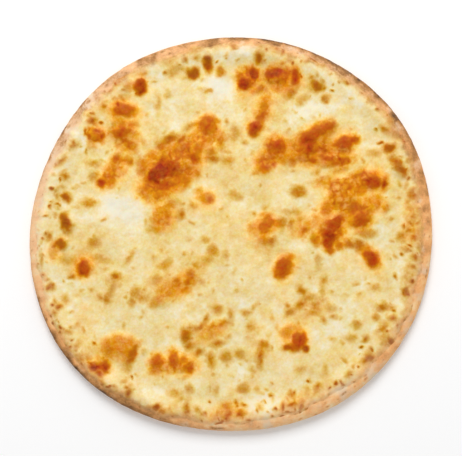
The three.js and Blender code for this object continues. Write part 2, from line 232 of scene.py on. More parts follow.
# Larger patches whose brown runs in a net between lighter cells, in the same form.
MOTTLED = {
    0.46: (
        (-36, 40, 38, 25, 32), (10, 94, 15, 13, 50), (30, 94, 21, 14, 0), (26, 53, 13, 13, 0),
        (22, 45, 15, 12, 30), (48, 51, 26, 18, 8), (66, 53, 15, 10, 10), (65, 46, 17, 9, 0),
        (81, 33, 21, 13, 0), (66, 25, 17, 26, 0), (60, 3, 17, 18, 50), (77, 12, 15, 17, 0),
    ),
    0.38: (
        (-34, -77, 27, 10, 0), (-22, 54, 20, 12, 40), (-14, 62, 15, 18, 0), (-63, 58, 14, 14, 0),
        (-40, 12, 10, 16, 0), (-47, 26, 17, 13, 0), (21, 7, 11, 12, 0), (58, 32, 16, 8, 0),
        (85, 19, 11, 10, 0), (18, 72, 24, 8, 70), (-70, 38, 22, 11, 50), (-78, -79, 12, 11, 0),
    ),
    0.27: (
        (-33, -30, 24, 10, 30), (-11, -57, 14, 9, 20), (43, 5, 16, 10, 20), (92, -57, 10, 7, 45),
        (-4, -107, 16, 8, 20), (38, -101, 17, 9, 20), (106, -27, 28, 7, 80), (107, 9, 24, 8, 90),
    ),
}

# Darker marks of the crust, in the same form.
CRUST_MARKS = {
    0.85: (
        (27, 114, 9, 3.5, -15), (47, 103, 10, 3, -28), (-76, -87, 7, 3, -45),
    ),
    0.72: (
        (115, 16, 7, 3.5, 95), (106, 27, 6, 4, 100), (-85, 80, 7, 3, 45), (-41, 110, 7, 3, 20),
        (-97, 65, 7, 3, 57), (-16, 110, 6, 3, 10), (-74, 90, 7, 3, 40), (-28, 107, 6, 3, 15),
        (-8, -115, 12, 3, 0), (-82, -75, 8, 4, -45), (67, -94, 8, 3, 38), (77, 80, 7, 3, -45),
        (-52, 101, 8, 4, 30), (-23, 115, 8, 3, 10),
    ),
}

# How spots fade and join.
SPOT_FADE = 1.8  # how far a spot's browning fades on either side of its border
MOTTLED_FADE = 2.4
CRUST_MARK_FADE = 1.0
CORE_SPREAD = 0.08  # how much browner a spot is in its middle, and less brown at its border
SPOT_JOIN = 5.0  # how sharply spots keep apart where they run together
TONE_END = 0.55  # browning level that hides the tone between the spots

# The net of the mottled patches.
NET_STRENGTH = 0.5  # how much browner the net is than the cells
NET_CELL = 4.6
NET_SEED = 21
NET_BEND = 1.4  # how much more the net is bent than the spots
NET_STRAND = 0.6  # width of the net's strands, as a share of the cells
NET_RISE = 0.9  # level of the net's strands above its cells
NET_MIDDLE = 0.35
NET_LOWEST = -0.4
NET_OVERALL = 0.16  # how far the net shows in the listed spots too

WARM_WIDTH = 8.0  # width of the narrowest spot that counts as large
WARM_REACH = 6.0  # how far the cheese is more orange round the large spots
LEAST_WARMTH = 0.1  # away from the large spots

# Broad zones between the spots: x, y, length, width, tilt.
PALE_ZONES = (
    (-10, 87, 22, 20, 0), (-4, 110, 10, 10, 0), (9, 110, 12, 8, 0), (-68, 17, 34, 26, 0),
    (50, 76, 36, 16, 15), (60, -57, 34, 26, 0), (-95, -29, 20, 16, 0), (60, 89, 40, 12, -35),
    (74, 83, 18, 12, -50), (-10, 67, 12, 12, 0), (20, -99, 30, 12, 0), (-48, -89, 24, 12, -20),
    (5, 21, 16, 22, 0), (40, -4, 16, 12, 0), (-90, 61, 10, 26, 60), (14, 16, 12, 10, 0),
    (-90, -41, 22, 16, 0), (99, -22, 10, 22, 0), (82, -29, 16, 10, 0), (9, -79, 14, 10, 0),
    (0, -60, 10, 8, 0), (-49, -90, 14, 10, 0),
)
WHITE_ZONES = (
    (-68, 15, 30, 20, 0), (-8, 89, 18, 14, 0), (8, 111, 16, 8, 0),
)
GOLDEN_ZONES = (
    (-35, 41, 62, 36, 36), (-38, 10, 24, 32, 0), (-66, 60, 20, 32, 0), (-30, -29, 60, 24, 25),
    (-12, -60, 34, 22, 0), (45, 53, 66, 28, 12), (72, 21, 36, 46, 0), (23, -3, 22, 24, 0),
    (28, 91, 48, 22, 0), (-71, -71, 30, 16, -20), (46, -43, 28, 18, 30), (-84, -14, 22, 20, 0),
    (-92, -19, 18, 14, 0), (-64, 97, 50, 10, 35), (95, -66, 12, 22, 35), (-12, -107, 40, 10, 0),
    (-68, -28, 16, 14, 0), (10, 84, 18, 14, 0), (48, -97, 40, 16, 25), (14, -69, 16, 30, 0),
    (0, 61, 14, 12, 0), (27, 72, 14, 14, 0), (-70, -38, 14, 12, 0), (31, 1, 14, 12, 0), (90, 11, 10, 10, 0),
    (21, 80, 14, 10, 0),
)
ZONE_REACH = 1.3  # where a zone ends, in its own radii
OPEN_TONE = 0.14  # browning level between the spots
GOLDEN_TONE = 0.12  # more than that in the golden zones
PALE_TONE = 0.11  # less than that in the pale ones
WHITE_COVER = 0.8  # how well the white zones cover

# Every 30 degrees from +X: how golden the cheese is near its edge, how far in the crust shows through it, how
# baked the crust is, how much darker its outermost edge is, and how floury it is. The crust's level is partly
# baking and partly painted shade and light: higher towards the top, painted shade where the key light
# brightens the rim, and lower towards the bottom, painted light where the rim faces away from it. The edge's
# level is a toasted edge and partly a painted dark line of shade where the side turns under; below 0, at the
# lower right, it is painted light on the side in shade.
RIM_GOLD = (0.22, 0.32, 0.18, 0.18, 0.18, 0.06, 0.0, 0.18, 0.04, 0.06, 0.12, 0.16)
CHEESE_FADES = (6.0, 6.0, 5.5, 5.0, 6.0, 5.0, 5.0, 5.0, 7.0, 7.0, 8.0, 7.0)
CRUST_BAKE_AND_SHADE = (0.48, 0.74, 0.64, 0.64, 0.62, 0.52, 0.36, 0.6, 0.66, 0.4, 0.34, 0.44)
EDGE_BAKE_AND_SHADE = (-0.05, 0.1, 0.3, 0.2, 0.05, 0.25, 0.15, 0.3, 0.25, 0.0, -0.1, -0.05)
FLOUR = (0.1, 0.1, 0.35, 0.2, 0.35, 0.6, 0.45, 0.1, 0.1, 0.2, 0.15, 0.1)
RIM_GOLD_WIDTH = 8.0
RIM_PALE_WIDTH = 14.0  # the cheese's colours are less strong this near its edge
EDGE_BAKE_AND_SHADE_WIDTH = 3.4
FLOUR_PATCHES = 0.7
PATCH_START = 0.1  # noise level at which a floury patch or a hollow starts

# The underside's baking.
UNDER_FADE = 3.5  # from the girth down to where the side is as pale as the underside
UNDER_BAKE = 0.26
UNDER_SPOT_BAKE = 0.55  # how much more baked its toasted spots are
UNDER_SPOT_START = 0.05  # noise level at which a toasted spot starts
UNDER_SPOT_COVER = 0.8  # how well the regions with toasted spots cover it

# ---- Small freckles, drawn at random from a seed ----
FRECKLE_WIDTHS = (1.2, 2.7)
FRECKLE_STRETCH = (1.0, 1.7)  # length, in widths
RIM_FRECKLES = 220
RIM_SEED = 52
RIM_FRECKLE_START = 0.6  # from the cheese's edge
RIM_FRECKLE_BAND = 15.0  # width of their band
RIM_FRECKLE_CROWDING = 1.5  # above 1, they crowd towards the edge
RIM_FRECKLE_LEVELS = (0.4, 0.85)
FIELD_FRECKLES = 300
FIELD_SEED = 12
FIELD_FRECKLE_LEVELS = (0.2, 0.42)
CRUST_FRECKLES = 150
CRUST_SEED = 9
CRUST_FRECKLE_BAND = (0.8, 9.0)  # in from the outline
CRUST_FRECKLE_WIDTHS = (1.3, 2.4)
CRUST_FRECKLE_STRETCH = (1.0, 2.6)
CRUST_FRECKLE_TURN = 25  # from the direction of the rim, either way
CRUST_FRECKLE_SHARES = (0.6, 1.0)  # of the level that fits the crust's own baking and painted shade
CRUST_FRECKLE_LEVEL = (0.55, 0.5)  # on unbaked crust, and how it grows with the crust's baking and painted shade

# ---- Fineness of the meshes ----
TOP_SPACING = 0.74  # between neighbouring vertices of the cheese
CRUST_SPACING = 0.75
UNDER_SPACING = 1.3
HIDDEN_SPACING = 8
LIP_INSETS = (0.1, 0.3, 0.6, 1.0, 1.5, 2.1)  # first rings of the cheese, in from its edge
TONGUE_FADE = 12  # power by which the edge's tongues fade inwards
CREST_STEPS = 14  # rings from the girth up to the crest
FOOT_STEPS = 12  # rings from the girth down to the foot
HIDDEN_SHARES = (0.87, 0.79, 0.5, 0.2)  # coarse rings of the hidden sides
COVERED_INSET = max(CRUST_WIDTHS) + 3  # from here in the cheese covers the dough
CHEESE_RINGS_RADIUS = BREAD_RADIUS - max(CRUST_WIDTHS) - 1  # the cheese's rings fit in this
CENTRE_STEPS = 720  # points of the outline for its box

# ---- Colours: browning or baking level, and red, green and blue from 0 to 255 ----
OPEN_CHEESE = (
    (0.0, (240, 231, 202)), (0.1, (237, 219, 167)), (0.2, (233, 206, 140)), (0.3, (225, 188, 112)),
    (0.4, (213, 167, 84)), (0.5, (202, 144, 58)), (0.62, (190, 120, 33)), (0.76, (173, 97, 14)),
    (0.9, (158, 80, 7)), (1.0, (140, 60, 4)),
)
WARM_CHEESE = (
    (0.0, (248, 226, 176)), (0.1, (251, 217, 146)), (0.2, (248, 204, 117)), (0.3, (243, 183, 91)),
    (0.4, (233, 160, 68)), (0.5, (220, 138, 44)), (0.62, (204, 114, 20)), (0.76, (190, 91, 5)),
    (0.9, (176, 69, 1)), (1.0, (154, 50, 1)),
)
BAKED_DOUGH = (
    (0.0, (250, 232, 196)), (0.2, (248, 212, 158)), (0.35, (248, 190, 124)), (0.5, (238, 168, 98)),
    (0.62, (214, 148, 82)), (0.75, (184, 128, 70)), (0.9, (146, 100, 54)), (1.0, (98, 66, 38)),
)
WHITE_CHEESE = (236, 232, 214)
FLOUR_COLOUR = (230, 204, 172)
CHEESE_GRAIN = 1.5  # size of the finest noise of each material
DOUGH_GRAIN = 1.2
GRAIN_TOAST = 0.05  # browning level, either way, of the cheese's grain
GRAIN_BAKE = 0.06  # baking level, either way, of the dough's grain
FLECK_SIZE = 3.2
FLECK_STRENGTH = 0.04  # browning level, either way, in the mottled patches
HUE_PATCHES = 3.5  # size of the patches of one hue
HUE_SPREAD = 0.01  # of the colour circle, either way
SATURATION_PATCHES = 6
LEAST_SATURATION = 0.98
SATURATION_SPREAD = 0.1
RIM_SATURATION = 0.92  # at the cheese's edge
WHITE_STRENGTH = 0.75  # of the white zones

# ---- Camera, light and floor; lights and floor are in metres ----
PICTURE_WIDTH = 277.2  # of the floor in view: 0.6 mm for each of the picture's 462 pixels
CAMERA_LENS = 85.0
CAMERA_SENSOR = 36.0
CAMERA_OFFSET = (0.0, 4.7)  # from the middle of the bread
KEY_PLACE = (-0.12, 1.1, 1.2)
KEY_SIZE = 0.8
KEY_POWER = 17.5
SKY_STRENGTH = 0.58
FLOOR_HALF = 3.0


# ---- Numbers ----
def smooth(t):
    """Smooth step from 0 at t = 0 to 1 at t = 1."""
    t = np.clip(t, 0, 1)
    return t * t * (3 - 2 * t)


def hashed(ix, iy, iz, seed):
    """A repeatable number from 0 to 1 for each whole-number point. The factors only mix bits."""
    h = (ix * 73856093) ^ (iy * 19349663) ^ (iz * 83492791) ^ (seed * 2654435761)
    for _ in range(2):
        h &= 0xFFFFFFFF
        h = (h ^ (h >> 16)) * 0x45D9F3B
    h &= 0xFFFFFFFF
    return ((h ^ (h >> 16)) & 0xFFFFFF) / 0xFFFFFF


def noise(points, size, seed):
    """Smooth noise from -1 to 1 whose bumps are about this size. points is an array of rows x, y, z."""
    scaled = points / size
    cell = np.floor(scaled).astype(np.int64)
    t = smooth(scaled - cell)
    total = np.zeros(len(points))
    for corner in np.ndindex(2, 2, 2):
        weight = np.prod(np.where(corner, t, 1 - t), axis=1)
        total += weight * hashed(cell[:, 0] + corner[0], cell[:, 1] + corner[1], cell[:, 2] + corner[2], seed)
    return 2 * total - 1


def layered(points, size, seed, layers):
    """Noise with finer and weaker layers on it."""
    return sum(0.5**k * noise(points, size / 2**k, seed + k) for k in range(layers))


def noises(points, rows):
    """Sum of the noises in a list of strength, size, seed and layers."""
    return sum(strength * layered(points, size, seed, layers) for strength, size, seed, layers in rows)


def cell_borders(points, size, seed):
    """Irregular cells of this size in plan: 0 on a border between cells, about 1 in the middle of one."""
    scaled = points[:, :2] / size
    home = np.floor(scaled).astype(np.int64)
    nearest = np.full(len(points), np.inf)
    second = nearest.copy()
    zero = np.zeros(len(points), np.int64)
    for dx in (-1, 0, 1):
        for dy in (-1, 0, 1):
            ix = home[:, 0] + dx
            iy = home[:, 1] + dy
            px = ix + hashed(ix, iy, zero, seed)
            py = iy + hashed(ix, iy, zero, seed + 1)
            distance = np.hypot(px - scaled[:, 0], py - scaled[:, 1])
            second = np.minimum(second, np.maximum(nearest, distance))
            nearest = np.minimum(nearest, distance)
    return second - nearest


def waves(rows, angle):
    return sum(height * np.cos(lobes * (angle - math.radians(peak))) for lobes, height, peak in rows)


def swells(rows, x, y):
    total = 0
    for length, direction, phase, height in rows:
        along = x * math.cos(math.radians(direction)) + y * math.sin(math.radians(direction))
        total = total + height * np.sin(TAU * along / length + math.radians(phase))
    return total


def round_curve(values, angle):
    """Values given at equal steps round the circle, joined by a smooth closed curve."""
    values = np.asarray(values)
    n = len(values)
    at = (angle / TAU) % 1 * n
    i = np.floor(at).astype(int)
    a, b, c, d = (values[(i + step) % n] for step in (-1, 0, 1, 2))
    t = at - i
    return b + 0.5 * t * (c - a + t * (2 * a - 5 * b + 4 * c - d + t * (3 * (b - c) + d - a)))


def from_polar(radius, angle, height=0.0):
    """Rows x, y, z of points at these radii, angles and heights."""
    return np.column_stack([radius * np.cos(angle), radius * np.sin(angle), height + 0 * angle])


def to_polar(points):
    return np.hypot(points[:, 0], points[:, 1]), np.arctan2(points[:, 1], points[:, 0])


# ---- The form of the bread ----
def outline(angle):
    return BREAD_RADIUS + waves(OUTLINE_WAVES, angle)


def cheese_edge(angle):
    return outline(angle) - round_curve(CRUST_WIDTHS, angle) - waves(CRUST_RAGGED_WAVES, angle)


def tongues(angle):
    """Small tongues and bays of the cheese's edge."""
    return noises(from_polar(BREAD_RADIUS, angle), EDGE_TONGUES)


def quarter_round(inset, run, height):
    return height * np.sqrt(np.maximum(0, 1 - (1 - inset / run) ** 2))


def dough_top(radius, angle):
    inset = outline(angle) - radius
    crest = CREST_HEIGHT + waves(CREST_WAVES, angle)
    rise = quarter_round(np.clip(inset, 0, CREST_INSET), CREST_INSET, crest - GIRTH_HEIGHT)
    bed = BED_HEIGHT + swells(BED_SWELLS, radius * np.cos(angle), radius * np.sin(angle))
    inner = crest + (bed - crest) * smooth((inset - CREST_INSET) / (BED_INSET - CREST_INSET))
    return np.where(inset < CREST_INSET, GIRTH_HEIGHT + rise, inner)


def dough_under(radius, angle):
    inset = np.clip(outline(angle) - radius, 0, FOOT_INSET)
    return GIRTH_HEIGHT - quarter_round(inset, FOOT_INSET, GIRTH_HEIGHT)


def plan_centre():
    """Centre of the outline's box, which the frame has at its origin."""
    angle = TAU * np.arange(CENTRE_STEPS) / CENTRE_STEPS
    points = from_polar(outline(angle), angle)
    return (points.min(0) + points.max(0)) / 2


# ---- Spots, patches and freckles ----
def spot_distance(x, y, spot):
    """Distance from a spot's centre in spot radii, 1 at its border."""
    sx, sy, length, width, tilt = spot
    c = math.cos(math.radians(tilt))
    s = math.sin(math.radians(tilt))
    along = ((x - sx) * c + (y - sy) * s) / (length / 2)
    across = ((y - sy) * c - (x - sx) * s) / (width / 2)
    return np.hypot(along, across)


def listed(table):
    """Rows of level and spot from a table of the spots of each level."""
    return [(level, spot) for level, group in table.items() for spot in group]


def joined(x, y, rows, fade):
    """Level at each point of these rows of level and spot, which run softly together."""
    powers = np.zeros(len(x))
    for level, spot in rows:
        width = spot[3]
        reach = spot[2] / 2 * (1 + 2 * fade / width)
        near = np.flatnonzero((abs(x - spot[0]) < reach) & (abs(y - spot[1]) < reach))
        distance = spot_distance(x[near], y[near], spot)
        inside = smooth(0.5 - (distance - 1) * width / 2 / (2 * min(fade, width / 2)))
        core = 1 + CORE_SPREAD * (2 * smooth(1 - distance) - 1)
        powers[near] += (level * core * inside) ** SPOT_JOIN
    return powers ** (1 / SPOT_JOIN)


def zones(x, y, rows):
    """Broad soft patches, 1 in the middle of one."""
    total = np.zeros(len(x))
    for spot in rows:
        total = np.maximum(total, smooth(ZONE_REACH - spot_distance(x, y, spot)))
    return total


def cheese_freckles(count, seed, levels, radius_at):
    """Random freckles of the cheese. radius_at draws a radius, given the radius of the cheese's edge."""
    draw = np.random.default_rng(seed)
    rows = []
    for _ in range(count):
        angle = draw.uniform(0, TAU)
        radius = radius_at(draw, cheese_edge(angle))
        level = draw.uniform(*levels)
        width = draw.uniform(*FRECKLE_WIDTHS)
        length = width * draw.uniform(*FRECKLE_STRETCH)
        tilt = draw.uniform(0, 180)
        rows.append((level, (radius * math.cos(angle), radius * math.sin(angle), length, width, tilt)))
    return rows


def near_rim(draw, edge):
    return edge - RIM_FRECKLE_START - RIM_FRECKLE_BAND * draw.random() ** RIM_FRECKLE_CROWDING


def anywhere(draw, edge):
    return edge * math.sqrt(draw.random())


def crust_freckles():
    """Small toasted marks on the crust, longer round the rim than across it."""
    draw = np.random.default_rng(CRUST_SEED)
    unbaked, growth = CRUST_FRECKLE_LEVEL
    rows = []
    for _ in range(CRUST_FRECKLES):
        angle = draw.uniform(0, TAU)
        radius = outline(angle) - draw.uniform(*CRUST_FRECKLE_BAND)
        width = draw.uniform(*CRUST_FRECKLE_WIDTHS)
        length = width * draw.uniform(*CRUST_FRECKLE_STRETCH)
        tilt = math.degrees(angle) + 90 + draw.uniform(-CRUST_FRECKLE_TURN, CRUST_FRECKLE_TURN)
        # The level follows the crust's level by direction, which is partly painted shade and light.
        level = draw.uniform(*CRUST_FRECKLE_SHARES) * (unbaked + growth * round_curve(CRUST_BAKE_AND_SHADE, angle))
        rows.append((level, (radius * math.cos(angle), radius * math.sin(angle), length, width, tilt)))
    return rows


# ---- Browning of the cheese ----
def open_tone(points, x, y):
    """Browning level of the cheese between the spots."""
    radius, angle = to_polar(points)
    tone = OPEN_TONE + GOLDEN_TONE * zones(x, y, GOLDEN_ZONES) - PALE_TONE * zones(x, y, PALE_ZONES)
    rim = round_curve(RIM_GOLD, angle) * smooth(1 - (cheese_edge(angle) - radius) / RIM_GOLD_WIDTH)
    return tone + noises(points, TONE_NOISE) + rim


def network(points, bend_x, bend_y):
    """The net of the mottled patches, from NET_LOWEST in its cells to above 0 on its strands."""
    bent = points + NET_BEND * np.column_stack([bend_x, bend_y, 0 * bend_x])
    strands = smooth(1 - cell_borders(bent, NET_CELL, NET_SEED) / NET_STRAND)
    return np.maximum(NET_LOWEST, NET_RISE * (strands - NET_MIDDLE) + noises(points, NET_NOISE))


def browning(points, net_strength):
    """Browning level of the cheese in plan, from about 0.1 for pale cheese to 1 for the darkest."""
    bend_x = noises(points, SPOT_WARP_X)
    bend_y = noises(points, SPOT_WARP_Y)
    x = points[:, 0] + bend_x
    y = points[:, 1] + bend_y
    net = net_strength * network(points, bend_x, bend_y)
    freckles = cheese_freckles(RIM_FRECKLES, RIM_SEED, RIM_FRECKLE_LEVELS, near_rim)
    freckles += cheese_freckles(FIELD_FRECKLES, FIELD_SEED, FIELD_FRECKLE_LEVELS, anywhere)
    spots = joined(x, y, listed(SPOTS) + freckles, SPOT_FADE)
    mottled = joined(x, y, listed(MOTTLED), MOTTLED_FADE) * (1 + net)
    level = (spots**SPOT_JOIN + mottled**SPOT_JOIN) ** (1 / SPOT_JOIN)
    level *= 1 + NET_OVERALL * net + noises(points, LEVEL_NOISE)
    return np.clip(open_tone(points, x, y) * (1 - smooth(level / TONE_END)) + level, 0, 1)


def warmth(points):
    """1 on and round the large browned spots, where the cheese is more orange, and low on the open cheese."""
    rows = []
    for level, (x, y, length, width, tilt) in listed(SPOTS) + listed(MOTTLED):
        if width >= WARM_WIDTH:
            rows.append((min(1, 2 * level), (x, y, length + WARM_REACH, width + WARM_REACH, tilt)))
    warm = joined(points[:, 0], points[:, 1], rows, WARM_REACH / 2)
    return np.clip(LEAST_WARMTH + (1 - LEAST_WARMTH) * warm + noises(points, WARM_NOISE), 0, 1)


def mottling(points):
    """1 on the mottled patches and 0 outside them."""
    rows = [(1.0, spot) for _, spot in listed(MOTTLED)]
    return np.minimum(1, joined(points[:, 0], points[:, 1], rows, MOTTLED_FADE))


# ---- Baking of the dough ----
def under_bake(points):
    """Baking level of the underside: pale, with toasted spots."""
    regions = smooth(UNDER_SPOT_COVER + noises(points, UNDER_REGION_NOISE))
    spots = smooth(noises(points, UNDER_SPOT_NOISE) - UNDER_SPOT_START) * regions
    return UNDER_BAKE + UNDER_SPOT_BAKE * spots + noises(points, UNDER_NOISE)


def crust_bake_and_shade(points, inset, angle):
    """Baking level of the dough at each point, from 0 for floury white to 1 for charred, round the rim partly
    painted shade and light.
    """
    # Level by direction: painted shade towards the top and painted light towards the bottom, on top of the
    # baking.
    crust = round_curve(CRUST_BAKE_AND_SHADE, angle) + noises(points, BAKE_NOISE)
    # A painted dark line of shade at the outermost edge, partly a toasted edge, and painted light where this
    # level is below 0.
    crust += round_curve(EDGE_BAKE_AND_SHADE, angle) * smooth(1 - inset / EDGE_BAKE_AND_SHADE_WIDTH)
    marks = joined(points[:, 0], points[:, 1], listed(CRUST_MARKS) + crust_freckles(), CRUST_MARK_FADE)
    below = smooth((GIRTH_HEIGHT - points[:, 2]) / UNDER_FADE)
    return np.clip(np.maximum(crust, marks) * (1 - below) + under_bake(points) * below, 0, 1)


def crust_flour(points, angle):
    """How floury the dough is at each point, from 0 to 1, in soft patches."""
    patches = smooth(noises(points, FLOUR_NOISE) - PATCH_START)
    return np.clip(round_curve(FLOUR, angle) + FLOUR_PATCHES * patches, 0, 1)


# ---- Meshes ----
CENTRE = np.zeros((1, 3))  # the last ring of a stack is this one point


def ring(spacing, share, radius_at, height_at=None):
    """A closed ring of points about this far apart, on this share of the bread's radius."""
    count = max(6, round(TAU * (share * BREAD_RADIUS) / spacing))
    angle = TAU * np.arange(count) / count
    radius = radius_at(angle)
    return from_polar(radius, angle, height_at(radius, angle) if height_at else 0.0)


def hidden_rings(radius_at, height_at=None):
    """Coarse rings of a side that the other piece hides."""
    return [ring(HIDDEN_SPACING, share, lambda angle: share * radius_at(angle), height_at)
            for share in HIDDEN_SHARES]


def rounded_insets(run, steps):
    """Insets that step evenly round a quarter circle."""
    return [run * (1 - math.cos(math.pi / 2 * i / steps)) for i in range(1, steps + 1)]


def stitch(outer_count, inner_count, outer_start, inner_start):
    """Triangles that face up between two neighbouring rings of any point counts."""
    inner_steps = inner_count if inner_count > 1 else 0
    outer_keys = (np.arange(outer_count) + 1) / outer_count
    inner_keys = (np.arange(inner_steps) + 1) / max(1, inner_steps)
    is_inner = np.repeat([False, True], [outer_count, inner_steps])
    is_inner = is_inner[np.lexsort((is_inner, np.concatenate([outer_keys, inner_keys])))]
    i = np.cumsum(~is_inner) - ~is_inner
    j = np.cumsum(is_inner) - is_inner
    a = outer_start + i % outer_count
    b = inner_start + j % inner_count
    c = np.where(is_inner, inner_start + (j + 1) % inner_count, outer_start + (i + 1) % outer_count)
    return np.column_stack([a, c, b])


def lofted(widest, upper, lower):
    """Vertices and triangles of a closed body, whose stacks of rings run from the widest ring to a point."""
    stacks = [widest]
    faces = []
    total = len(widest)
    for stack, faces_up in ((upper, True), (lower, False)):
        outer_count = len(widest)
        outer_start = 0
        for inner in stack:
            made = stitch(outer_count, len(inner), outer_start, total)
            faces.append(made if faces_up else made[:, ::-1])
            stacks.append(inner)
            outer_count = len(inner)
            outer_start = total
            total += len(inner)
    return np.concatenate(stacks), np.concatenate(faces)


def vertex_normals(vertices, faces):
    a, b, c = (vertices[faces[:, k]] for k in range(3))
    face_normal = np.cross(b - a, c - a)
    total = np.zeros_like(vertices)
    for k in range(3):
        for axis in range(3):
            total[:, axis] += np.bincount(faces[:, k], face_normal[:, axis], len(vertices))
    return total / np.linalg.norm(total, axis=1, keepdims=True)


def make_piece(name, vertices, faces, attributes, material):
    """An object from millimetre data, with the outline's box centred on the frame's origin."""
    mesh = bpy.data.meshes.new(name)
    mesh.vertices.add(len(vertices))
    mesh.vertices.foreach_set("co", ((vertices - plan_centre()) * MM).ravel())
    mesh.loops.add(faces.size)
    mesh.loops.foreach_set("vertex_index", faces.ravel())
    mesh.polygons.add(len(faces))
    mesh.polygons.foreach_set("loop_start", np.arange(0, faces.size, 3))
    mesh.polygons.foreach_set("use_smooth", np.ones(len(faces), bool))
    mesh.update(calc_edges=True)
    mesh.validate()
    for key, values in attributes.items():
        mesh.attributes.new(key, "FLOAT", "POINT").data.foreach_set("value", values)
    mesh.materials.append(material)
    piece = bpy.data.objects.new(name, mesh)
    bpy.context.scene.collection.objects.link(piece)
    return piece


# ---- The cheese ----
def cheese_rings():
    """Flat rings over the cheese's top, from near its edge in to the centre."""
    insets = list(LIP_INSETS)
    while insets[-1] + TOP_SPACING < CHEESE_RINGS_RADIUS:
        insets.append(insets[-1] + TOP_SPACING)
    deepest = insets[-1] + TOP_SPACING
    rings = []
    for inset in insets:
        share = 1 - inset / deepest
        shape = lambda angle: share * cheese_edge(angle) + share**TONGUE_FADE * tongues(angle)
        rings.append(ring(TOP_SPACING, share, shape))
    return rings + [CENTRE]


def cheese_height(points, toast):
    """Height of the cheese's top above the dough, with its blisters, lumps and pits."""
    radius, angle = to_polar(points)
    from_edge = cheese_edge(angle) + tongues(angle) - radius
    full = smooth(from_edge / LIP_TAPER)
    x, y = points[:, 0], points[:, 1]
    thickness = LIP_THICKNESS + full * (CHEESE_THICKNESS - LIP_THICKNESS + swells(CHEESE_SWELLS, x, y))
    lift = np.zeros(len(points))
    for *spot, height in BLISTERS:
        lift = np.maximum(lift, height * smooth(BLISTER_REACH - spot_distance(x, y, spot)))
    puffed = PUFF * smooth(toast / PUFF_LEVEL) - SINK * smooth((toast - SINK_LEVEL) / (1 - SINK_LEVEL))
    fine = noises(points, CHEESE_LUMPS) + puffed
    relief = full * lift + (LIP_RELIEF + (1 - LIP_RELIEF) * full) * fine
    return (thickness + relief) * smooth(from_edge / LIP_FEATHER)


def cheese_attributes(vertices, toast):
    """What the cheese's material reads at each vertex."""
    radius, angle = to_polar(vertices)
    x, y = vertices[:, 0], vertices[:, 1]
    from_edge = cheese_edge(angle) + tongues(angle) - radius + noises(vertices, EDGE_COLOUR_NOISE)
    return {
        "toast": toast,
        "warm": warmth(vertices),
        "mottling": mottling(vertices),
        "white": zones(x, y, WHITE_ZONES) * smooth(WHITE_COVER + noises(vertices, WHITE_NOISE)),
        "rim": smooth(1 - from_edge / RIM_PALE_WIDTH),
        "thin": smooth(1 - from_edge / round_curve(CHEESE_FADES, angle)),
        "bake_and_shade": crust_bake_and_shade(vertices, outline(angle) - radius, angle),
        "flour": crust_flour(vertices, angle),
    }


def build_cheese(material):
    widest = ring(TOP_SPACING, 1, lambda angle: cheese_edge(angle) + tongues(angle))
    top = cheese_rings()
    vertices, faces = lofted(widest, top, hidden_rings(cheese_edge) + [CENTRE])
    radius, angle = to_polar(vertices)
    toast = browning(vertices, NET_STRENGTH)
    height = cheese_height(vertices, browning(vertices, 0))
    height[:len(widest)] = 0
    height[len(widest) + sum(len(points) for points in top):] = 0
    vertices[:, 2] = dough_top(radius, angle) - SUNK + height
    return make_piece("melted_cheese", vertices, faces, cheese_attributes(vertices, toast), material)


# ---- The bread ----
def crust_rings():
    """Rings of the dough from the girth over the rounded rim to just under the cheese."""
    insets = rounded_insets(CREST_INSET, CREST_STEPS)
    while insets[-1] < COVERED_INSET:
        insets.append(insets[-1] + CRUST_SPACING)
    return [ring(CRUST_SPACING, 1, lambda angle: outline(angle) - inset, dough_top) for inset in insets]


def under_rings():
    """Rings of the side below the girth and of the underside."""
    side = [ring(CRUST_SPACING, 1, lambda angle: outline(angle) - inset, dough_under)
            for inset in rounded_insets(FOOT_INSET, FOOT_STEPS)]
    bands = int((BREAD_RADIUS - FOOT_INSET) / UNDER_SPACING)
    base = [ring(UNDER_SPACING, share, lambda angle: share * (outline(angle) - FOOT_INSET))
            for share in (1 - i / bands for i in range(1, bands))]
    return side + base + [CENTRE]


def roughened(vertices, faces, inset):
    """The vertices with the crust's bumps and the underside's hollows."""
    covered = (inset > COVERED_INSET) & (vertices[:, 2] > GIRTH_HEIGHT)
    bumps = np.where(covered, 0, noises(vertices, CRUST_BUMPS) * smooth(vertices[:, 2] / BUMPS_CLEAR))
    moved = vertices + vertex_normals(vertices, faces) * bumps[:, None]
    hollows = smooth(noises(moved, DIMPLE_NOISE) - PATCH_START) * smooth((inset - FOOT_INSET) / DIMPLE_MARGIN)
    moved[:, 2] = np.maximum(moved[:, 2], UNDER_DIMPLES * hollows)
    return moved


def build_dough(material):
    girth = ring(CRUST_SPACING, 1, outline, lambda radius, angle: GIRTH_HEIGHT)
    covered = hidden_rings(outline, lambda radius, angle: dough_top(radius, angle) - 2 * SUNK)
    covered.append(CENTRE + (0, 0, BED_HEIGHT - 2 * SUNK))
    vertices, faces = lofted(girth, crust_rings() + covered, under_rings())
    radius, angle = to_polar(vertices)
    inset = outline(angle) - radius
    vertices = roughened(vertices, faces, inset)
    attributes = {"bake_and_shade": crust_bake_and_shade(vertices, inset, angle), "flour": crust_flour(vertices, angle)}
    return make_piece("baked_dough", vertices, faces, attributes, material)


# ---- Materials ----
def rgb(red, green, blue):
    """A colour given as 0 to 255, as the linear RGBA that a shader takes."""
    parts = [part / 255 for part in (red, green, blue)]
    return tuple(p / 12.92 if p <= 0.04045 else ((p + 0.055) / 1.055) ** 2.4 for p in parts) + (1.0,)


